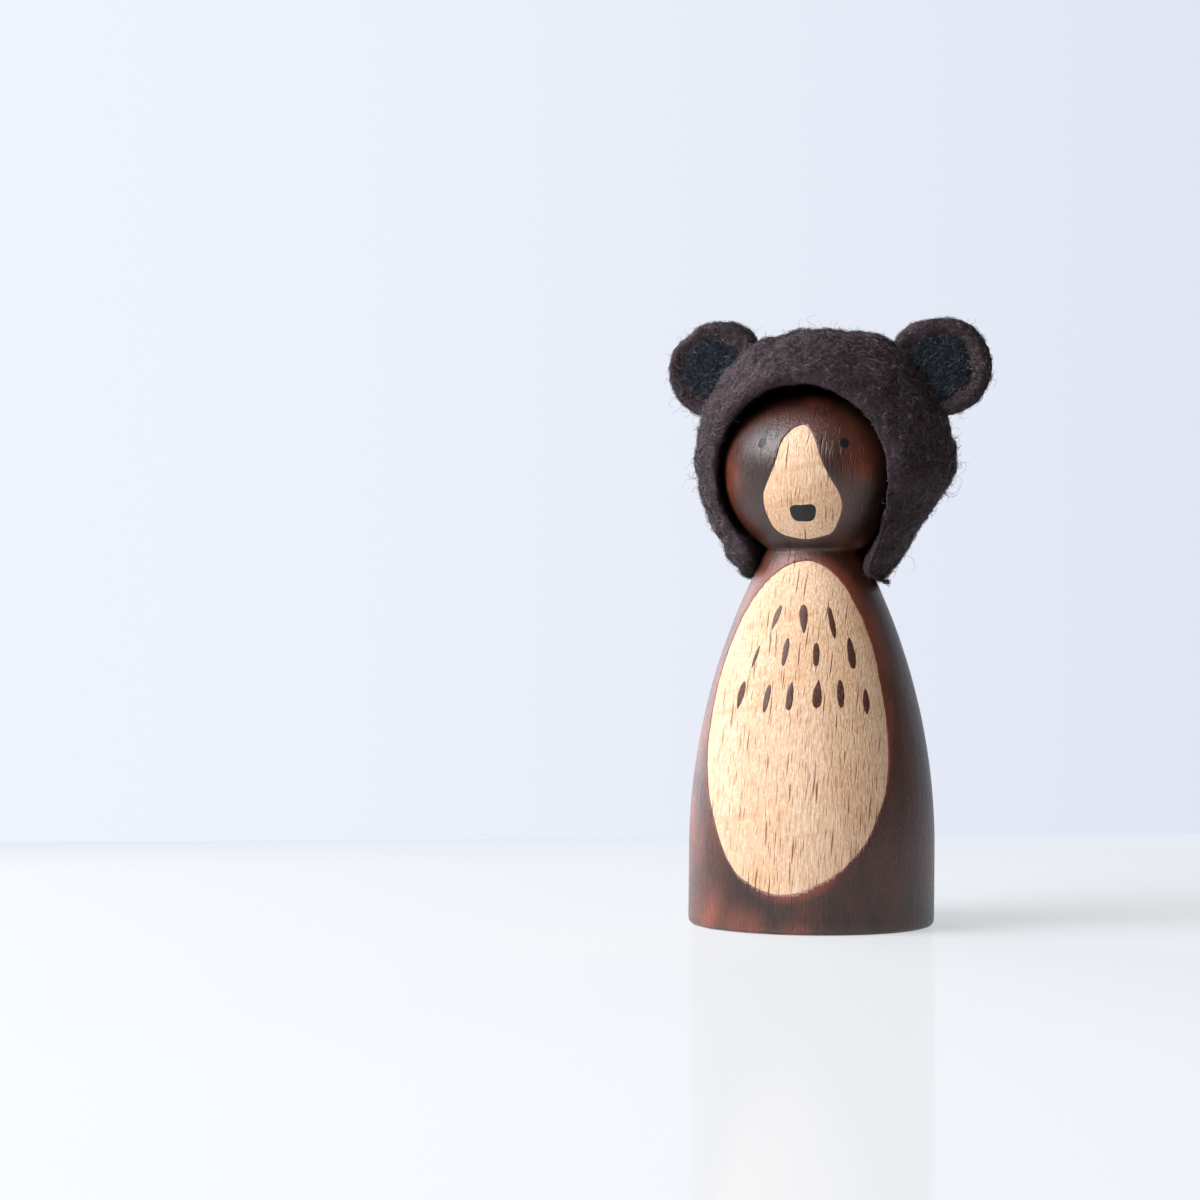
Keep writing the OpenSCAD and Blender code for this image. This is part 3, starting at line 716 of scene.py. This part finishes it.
points, faces, edges = evened("bonnet", felt_voxel)
seen = in_bonnet(relaxed(points, edges, felt_rounds))
tilt = math.radians(draw_tilt)
draw_way = np.array([0, math.cos(tilt), math.sin(tilt)])
depth = seen @ draw_way
off_axis = seen - depth[:, None] * draw_way
reach = np.linalg.norm(off_axis, axis=1)
near_mouth = np.clip((rim_depth - mouth_front - depth) / rim_depth, 0, 1)
near_mouth *= near_mouth * (3 - 2 * near_mouth)
round_face = np.degrees(np.arctan2(seen[:, 2], seen[:, 0])) % 360
lean = np.interp(round_face, *np.transpose(rim_leans), period=360) * near_mouth
seen -= off_axis / np.maximum(reach, 1)[:, None] * lean[:, None]
in_flap = np.clip((flap_top - seen[:, 2]) / flap_fade, 0, 1)[:, None]
sideways = np.clip(seen[:, 0] / side_from, -1, 1)
seen[:, 2] -= in_flap[:, 0] * (flap_drop * np.clip(sideways, 0, 1))
seen = relaxed(in_bonnet(held_clear(from_bonnet(seen))), edges, flap_rounds, 0.5 * in_flap)
points = from_bonnet(seen)
normals = normals_of(points, faces)
outward = seen - ball_place
outward /= np.linalg.norm(outward, axis=1)[:, None]
outside = np.clip((((normals @ turn_in.T) * outward).sum(1) + 0.25) / 0.6, 0, 1)
lumps = sum(height * soft_noise(points, (size,) * 3, number)
            for number, (size, height) in enumerate(lump_sizes, 5))
bulge = sum(height * np.exp(-(np.linalg.norm(seen - spot, axis=1) / wide) ** 2)
            for spot, height, wide in bulges)
swell = (np.clip(-sideways, 0, 1) * np.interp(seen[:, 2], side_heights, right_swells)
         + np.clip(sideways, 0, 1) * np.interp(seen[:, 2], side_heights, left_swells))
push = outside * (lumps + bulge + swell) - (1 - outside) * np.abs(lumps) * inside_share
points = relaxed(held_clear(points + normals * push[:, None]), edges, last_rounds, 0.5 * in_flap)
bonnet_points, bonnet_faces = held_clear(points), faces
felt_bonnet = add_piece("felted_bonnet", bonnet_points, bonnet_faces, brown_felt, "bonnet", "brown_felt",
                        "bonnet")

# The ears: two discs of the same wool, felted to the outside of the bonnet, each with a dark patch
# felted into its hollow front.
ear_r = 6.95
ear_t = 3.4
ear_reach = 21.55
ear_back = 1.2
ear_splay = 5.0
lining_t = 1.3
# Where each ear's outline swells or draws in: degrees round it, and the share of its radius. How wide such
# a place is, is in radians.
left_ear_swells = ((142, 0.13), (50, 0.03))
right_ear_swells = ((40, 0.15), (125, -0.1))
swell_width = 0.5
# Lumps of the ears: how far apart they are, and how high
ear_lumps = ((2.6, 0.16), (1.1, 0.14), (0.6, 0.07))
ear_steps = 120
# From the middle of the front, over the rim, to the middle of the back: shares of the radius and thickness
ear_profile_shares = ((0.0, 0.2), (0.3, 0.21), (0.55, 0.26), (0.72, 0.38), (0.85, 0.47), (0.95, 0.34),
                      (1.0, 0.02), (0.95, -0.32), (0.8, -0.47), (0.5, -0.52), (0.25, -0.53), (0.0, -0.53))
lining_profile_shares = ((0.0, 0.62), (0.35, 0.6), (0.65, 0.66), (0.85, 0.62), (0.97, 0.25), (1.0, -0.2),
                         (0.8, -0.6), (0.4, -0.65), (0.0, -0.65))
dark_felt = felted_wool("needle_felted_blue_black_wool", "#03060b", "#0c151f", "#2a3b4c", 0.12, "#c4d6ea")


def ear_to_frame(points, side, lift):
    """Points in an ear's own frame, with z out through its front, taken to the row frame."""
    upright = np.array(Matrix.Rotation(math.radians(90), 3, "X"))
    splay = np.array(Matrix.Rotation(math.radians(side * ear_splay), 3, "Z"))
    lift = math.radians(lift)
    place = np.array(ball_place) + (side * ear_reach * math.cos(lift), ear_back, ear_reach * math.sin(lift))
    return from_bonnet(points @ upright.T @ splay.T + place)


def felt_disc(profile_shares, radius, thickness, sway, seed, swells=()):
    """A closed disc spun from a profile of shares, with an uneven outline and a lumpy surface."""
    profile = smooth_through(profile_shares, 5, closed=False) * (radius, thickness)
    turn = np.linspace(0, 2 * math.pi, ear_steps, endpoint=False)
    wave = 1 + sway * soft_noise(np.stack([np.cos(turn), np.sin(turn), 0 * turn], 1), (0.6,) * 3, seed)
    for middle, swell in swells:
        wave += swell * np.exp(-((turn - math.radians(middle)) / swell_width) ** 2)
    points = [[0, 0, profile[0][1]]]
    for across, up in profile[1:-1]:
        ring = np.stack([np.cos(turn) * across * wave, np.sin(turn) * across * wave, 0 * turn + up], 1)
        points += list(ring)
    points = np.array(points + [[0, 0, profile[-1][1]]], float)
    rings = len(profile) - 2
    faces = [(0, 1 + j, 1 + (j + 1) % ear_steps) for j in range(ear_steps)]
    for i in range(rings - 1):
        for j in range(ear_steps):
            a, b, k = 1 + i * ear_steps, 1 + (i + 1) * ear_steps, (j + 1) % ear_steps
            faces.append((a + j, b + j, b + k, a + k))
    last = 1 + (rings - 1) * ear_steps
    faces += [(last + j, len(points) - 1, last + (j + 1) % ear_steps) for j in range(ear_steps)]
    normals = normals_of(points, faces)
    for size, height in ear_lumps:
        points = points + normals * (height * soft_noise(points, (size,) * 3, seed + 3))[:, None]
    return points, faces


ear_surfaces = []
for word, side, lift, swells, lining_r in (("left", 1, 38.0, left_ear_swells, 5.45),
                                           ("right", -1, 37.0, right_ear_swells, 5.0)):
    points, faces = felt_disc(ear_profile_shares, ear_r, ear_t, 0.03, 21 + side, swells)
    points = ear_to_frame(points, side, lift)
    ear = add_piece(f"felted_{word}_ear", points, faces, brown_felt, "bonnet", "brown_felt", f"{word}_ear")
    patch, patch_faces = felt_disc(lining_profile_shares, lining_r, lining_t, 0.12, 31 + side)
    patch = ear_to_frame(patch + (-side * 0.3, 0.1, ear_t * 0.1), side, lift)
    lining = add_piece(f"felted_{word}_ear_lining", patch, patch_faces, dark_felt, "bonnet", "dark_felt",
                       f"{word}_ear_lining")
    ear_surfaces.append((word, (points, faces), (patch, patch_faces)))

# Loose wool: the ends of fibres that the felting needle left out, some lying on the felt and some
# standing off it. They are drawn twice as thick as the coarsest real ones, so that they show.
fibre_r = 0.04
# How deep a fibre is rooted, and how far off the felt one that lies on it stays at least
root_depth, least_off = 0.15, 0.03
# The spread of how steep and how long fibres are, how strongly one bends, how much it trembles, and how
# thick its tip is against its root
rise_spread, length_spread, bend_pull, tremble = (0.4, 1.3), (0.45, 1.5), 4, 0.25
tip_share = 0.35
# No tube can follow a fibre with a step under least_step millimetres or over most_step times an even step,
# or with two steps that end within least_span millimetres of where they began, so it is left out
least_step, most_step, least_span = 0.02, 1.8, 0.05
# How many fibres root on the bonnet's edge and at least inside it, against 1 on the outside
edge_share, inside_least = 0.35, 0.02


def wool_fibre(name, dark, light):
    """Single wool fibres: darker and lighter ones side by side, with a gloss that glints in the light."""
    fibre, shader, place = new_material(name, 0.32, 1.55)
    shader.inputs["Specular IOR Level"].default_value = 1.0
    tone = add_node(fibre, "TexNoise", {"Vector": place, "Scale": 0.9})
    tone = add_node(fibre, "MapRange", (tone, 0.35, 0.65))
    colour = add_node(fibre, "Mix", {0: tone, 6: srgb(dark), 7: srgb(light)}, 2, data_type="RGBA")
    fibre.node_tree.links.new(colour, shader.inputs["Base Color"])
    return fibre


brown_fibre = wool_fibre("loose_brown_wool_fibre", "#0a0708", "#4a3c40")
pale_fibre = wool_fibre("loose_light_brown_wool_fibre", "#33292b", "#8f7f82")
dark_fibre = wool_fibre("loose_blue_black_wool_fibre", "#04080d", "#26333f")


def grow_fibres(points, faces, count, length, steps, rise, hug, curl, seed, rooting=None):
    """Paths of fibres rooted in a surface. rise is how steeply they leave it, and hug how near they stay."""
    random = np.random.default_rng(seed)
    corners = face_corners(faces)
    a, b, c, d = (points[corners[:, k]] for k in range(4))
    area_normals = np.cross(c - a, d - b)
    areas = np.maximum(np.linalg.norm(area_normals, axis=1), 1e-9)
    weight = areas * rooting((a + b + c + d) / 4, area_normals / areas[:, None]) if rooting else areas
    chosen = random.choice(len(faces), count, p=weight / weight.sum())
    mix = random.random((count, 2, 1))
    a, b, c, d = a[chosen], b[chosen], c[chosen], d[chosen]
    one_side = a * mix[:, 0] + b * (1 - mix[:, 0])
    other_side = d * mix[:, 0] + c * (1 - mix[:, 0])
    roots = one_side * mix[:, 1] + other_side * (1 - mix[:, 1])
    normal = area_normals[chosen] / areas[chosen][:, None]
    surface = BVHTree.FromPolygons([Vector(p) for p in points], faces)
    heading = random.normal(size=(count, 3))
    heading -= (heading * normal).sum(1)[:, None] * normal
    heading /= np.linalg.norm(heading, axis=1)[:, None]
    heading += normal * rise * random.uniform(*rise_spread, (count, 1))
    bend = random.normal(size=(count, 3)) * curl
    step = (length * random.uniform(*length_spread, count) / steps)[:, None]
    now = roots
    paths = [roots - normal * root_depth]
    for _ in range(steps):
        trembling = random.normal(size=(count, 3)) * curl * tremble
        heading += np.cross(heading, bend) / steps * bend_pull + trembling
        heading /= np.linalg.norm(heading, axis=1)[:, None]
        now = now + heading * step
        if hug:
            for i in range(count):
                spot, way, _, _ = surface.find_nearest(Vector(now[i]))
                off = min(max((Vector(now[i]) - spot).dot(way), least_off), hug)
                now[i] = spot + way * off
        paths.append(now.copy())
    paths = np.stack(paths, 1)
    taken = np.linalg.norm(np.diff(paths, axis=1), axis=2)
    doubled_back = np.linalg.norm(paths[:, 2:] - paths[:, :-2], axis=2).min(1) < least_span
    even = (taken.min(1) > least_step) & (taken[:, 1:].max(1) < most_step * length / steps)
    return paths[even & ~doubled_back]


def fibre_tubes(paths, radius):
    """Three-sided closed tubes along paths, tapering to their tips."""
    count, along, _ = paths.shape
    ahead = np.gradient(paths, axis=1)
    ahead /= np.maximum(np.linalg.norm(ahead, axis=2), 1e-9)[:, :, None]
    level = np.where(np.abs(ahead[:, :, 2:3]) < 0.9, np.array([0, 0, 1.0]), np.array([1.0, 0, 0]))
    side = np.cross(ahead, level)
    side /= np.linalg.norm(side, axis=2)[:, :, None]
    other = np.cross(ahead, side)
    taper = np.linspace(1, tip_share, along)[None, :, None] * radius
    corners = [paths + taper * (side * math.cos(t) + other * math.sin(t))
               for t in (0, math.tau / 3, math.tau * 2 / 3)]
    points = np.stack(corners, 2).reshape(-1, 3)
    faces = []
    for start in range(0, count * along * 3, along * 3):
        faces.append((start + 2, start + 1, start))
        for low in range(start, start + 3 * (along - 1), 3):
            faces += [(low + s, low + (s + 1) % 3, low + 3 + (s + 1) % 3, low + 3 + s) for s in range(3)]
        end = start + 3 * (along - 1)
        faces.append((end, end + 1, end + 2))
    return points, faces


def clear_of_peg(paths, gap=0.12):
    """Only the fibres that stay outside the wood."""
    flat = paths.reshape(-1, 3)
    out = np.hypot(flat[:, 0], flat[:, 1]) - peg_radius(np.clip(flat[:, 2], 0, head_h + head_crown))
    free = (out > gap) | (flat[:, 2] > head_h + head_crown + gap)
    return paths[free.reshape(paths.shape[:2]).all(1)]


def on_the_outside(middles, normals):
    """How many fibres root at a place of the bonnet: most outside, some on its edge, and few inside."""
    away = in_bonnet(middles) - ball_place
    away /= np.linalg.norm(away, axis=1)[:, None]
    return np.clip(((normals @ turn_in.T) * away).sum(1) + edge_share, inside_least, 1)


# Each kind of fibre on the bonnet: its seed, its thickness as a share, its wool, and then its count, length,
# steps, rise, hug and curl
for kind, seed, thick, wool, grown in (
        ("lying", 41, 1.0, brown_fibre, (5400, 2.6, 5, 0.3, 0.2, 0.8)),
        ("short", 42, 1.0, brown_fibre, (3600, 1.15, 5, 1.3, 0, 0.9)),
        ("light", 44, 0.75, pale_fibre, (1800, 2.4, 6, 0.5, 0.3, 0.9)),
        ("stray", 43, 0.8, pale_fibre, (240, 3.6, 12, 0.9, 0, 0.9))):
    paths = clear_of_peg(grow_fibres(bonnet_points, bonnet_faces, *grown, seed, on_the_outside))
    add_piece(f"bonnet_{kind}_fibres", *fibre_tubes(paths, fibre_r * thick), wool, "bonnet", "brown_felt")
# The same for each ear and its lining
for seed, (word, ear_felt, lining_felt) in enumerate(ear_surfaces, 51):
    for kind, felt, seed_up, thick, wool, slot, grown in (
            ("ear_lying", ear_felt, 0, 1.0, brown_fibre, "brown_felt", (1100, 2.2, 5, 0.3, 0.22, 0.8)),
            ("ear_stray", ear_felt, 10, 0.8, pale_fibre, "brown_felt", (260, 1.9, 8, 1.1, 0, 1.0)),
            ("lining", lining_felt, 20, 1.0, dark_fibre, "dark_felt", (700, 1.9, 5, 0.4, 0.22, 0.8))):
        paths = grow_fibres(*felt, *grown, seed + seed_up)
        add_piece(f"{word}_{kind}_fibres", *fibre_tubes(paths, fibre_r * thick), wool, "bonnet", slot)

# The table: a white laminate top with a faint gloss. It ends behind the doll, and isn't part of it.
table_turn = 21.5
table_back = 156.0
table_side = 1500.0
table_edge = 5.0
table_drop = 300.0
far_haze = 60.0
# How much of the table's white is even haze in front, and how much and how softly it mirrors
near_haze = 0.6
mirror_share, mirror_blur = 0.08, 0.1
table_turned = Matrix.Rotation(math.radians(table_turn), 3, "Z")

# White laminate: a bright, even white that mirrors what stands on it a little.
white_laminate, shader, place = new_material("white_laminate", 0.5, 1.45)
shader.inputs["Base Color"].default_value = srgb("#dadbde")
shader.inputs["Specular IOR Level"].default_value = 0.0
table_way = table_turned @ Vector((0, 1, 0))
behind = add_node(white_laminate, "VectorMath", (place, table_way), "Value", operation="DOT_PRODUCT")
haze = add_node(white_laminate, "MapRange", (behind, table_back - far_haze, table_back, near_haze, 1.0),
                interpolation_type="SMOOTHSTEP")
rays = add_node(white_laminate, "LightPath").node.outputs
straight = add_node(white_laminate, "Math", (rays["Is Glossy Ray"], rays["Is Transmission Ray"]),
                    operation="MAXIMUM")
straight = add_node(white_laminate, "Math", (straight, rays["Is Camera Ray"]), operation="MAXIMUM")
haze = add_node(white_laminate, "Math", (haze, straight), operation="MULTIPLY")
far = add_node(white_laminate, "MapRange", (behind, table_back - far_haze, table_back, 0.0, 1.0))
glow = add_node(white_laminate, "Mix", {0: far, 6: srgb("#f6fcff"), 7: srgb("#e6ebf7")}, 2, data_type="RGBA")
even = add_node(white_laminate, "Emission", (glow, 1.0))
plain = add_node(white_laminate, "MixShader", (haze, shader.outputs[0], even))
mirror = add_node(white_laminate, "BsdfGlossy", {"Color": (1, 1, 1, 1), "Roughness": mirror_blur})
glossy = add_node(white_laminate, "MixShader", (mirror_share, plain, mirror))
surface = white_laminate.node_tree.nodes["Material Output"].inputs["Surface"]
white_laminate.node_tree.links.new(glossy, surface)
round_over = np.linspace(0, math.pi / 2, 7)
back_line = [(table_back + table_edge * (math.sin(b) - 1), table_edge * (math.cos(b) - 1))
             for b in round_over]
table_line = [(-table_side, 0.0)] + back_line + [(table_back, -table_drop)]
table_points = np.array([(x, y, z) for y, z in table_line for x in (-table_side, table_side)])
table_points = table_points @ np.array(table_turned).T
table_faces = [(2 * i, 2 * i + 1, 2 * i + 3, 2 * i + 2) for i in range(len(table_line) - 1)]
add_piece("table_top", table_points, table_faces, white_laminate)

# The room: a pale backdrop behind the table, and three windows on the doll's right: a high one beside it,
# a low one behind its shoulder, and one in front of it.
world = bpy.data.worlds.new("pale_room")
world.use_nodes = True
bpy.context.scene.world = world
way = add_node(world, "SeparateXYZ", (add_node(world, "TexCoord", output="Generated"),)).node.outputs
across = add_node(world, "MapRange", (way[0], -0.36, 0.06, 0.0, 1.0), interpolation_type="SMOOTHSTEP")
backdrop = add_node(world, "Mix", {0: across, 6: srgb("#eff3fc"), 7: srgb("#dce2f1")}, 2, data_type="RGBA")
behind = add_node(world, "MapRange", (way[1], 0.6, 0.95, 0.0, 1.0), interpolation_type="SMOOTHSTEP")
level = add_node(world, "MapRange", (behind, 0.0, 1.0, 0.1, 0.3))
room = add_node(world, "VectorMath", {0: srgb("#f6dcc2")[:3], "Scale": level}, operation="SCALE")
rays = add_node(world, "LightPath").node.outputs
straight = add_node(world, "Math", (rays["Is Glossy Ray"], rays["Is Transmission Ray"]), operation="MAXIMUM")
straight = add_node(world, "Math", (straight, behind), operation="MULTIPLY")
straight = add_node(world, "Math", (straight, rays["Is Camera Ray"]), operation="MAXIMUM")
shown = add_node(world, "Mix", {0: straight, 6: room, 7: backdrop}, 2, data_type="RGBA")
world.node_tree.links.new(shown, world.node_tree.nodes["Background"].inputs["Color"])

# Each window's watts, width and height, its angles round the doll and over the table, its distance and
# colour; they all face the middle of the doll
doll_middle = 45
for name, watts, wide, high, turn, lift, away, colour in (
        ("window", 8.8, 560, 520, -62, 42, 850, "#fcfaff"),
        ("far_window", 4.4, 600, 700, -128, 16, 900, "#fcf8ff"),
        ("front_window", 5.8, 650, 550, -38, 29, 1000, "#fcfcff")):
    lamp = bpy.data.lights.new(name, "AREA")
    lamp.shape = "RECTANGLE"
    lamp.size, lamp.size_y, lamp.energy = wide * MM, high * MM, watts
    lamp.color = srgb(colour)[:3]
    placed = bpy.data.objects.new(name, lamp)
    bpy.context.scene.collection.objects.link(placed)
    turn, lift = math.radians(turn), math.radians(lift)
    from_doll = Vector((math.sin(turn) * math.cos(lift), -math.cos(turn) * math.cos(lift), math.sin(lift)))
    placed.location = Vector((0, 0, doll_middle * MM)) + from_doll * away * MM
    placed.rotation_mode = "QUATERNION"
    placed.rotation_quaternion = from_doll.to_track_quat("Z", "Y")
    placed.visible_camera = False

# The camera stands where the photograph was taken from: a long lens, a little above the doll's shoulders
camera_turn = 9.2
camera_away = 620.0
camera_up = 62.3
# How many degrees it aims past the doll and below level, and how far it is tipped over
aim_turn, aim_down, aim_roll = 2.82, 1.5, 0.4
lens_share = 3.616
sensor = 36.0
lens = bpy.data.cameras.new("camera")
lens.sensor_width = sensor
lens.lens = sensor * lens_share
lens.clip_start, lens.clip_end = 0.01, 20
camera = bpy.data.objects.new("camera", lens)
bpy.context.scene.collection.objects.link(camera)
stand = Vector((0, -camera_away, camera_up)) * MM
stand.rotate(Euler((0, 0, math.radians(camera_turn))))
look = (Matrix.Rotation(math.radians(camera_turn + aim_turn), 4, "Z")
        @ Matrix.Rotation(math.radians(90 - aim_down), 4, "X")
        @ Matrix.Rotation(math.radians(aim_roll), 4, "Z"))
camera.matrix_world = Matrix.Translation(stand) @ look
bpy.context.scene.camera = camera
bpy.context.scene.view_settings.view_transform = "Standard"
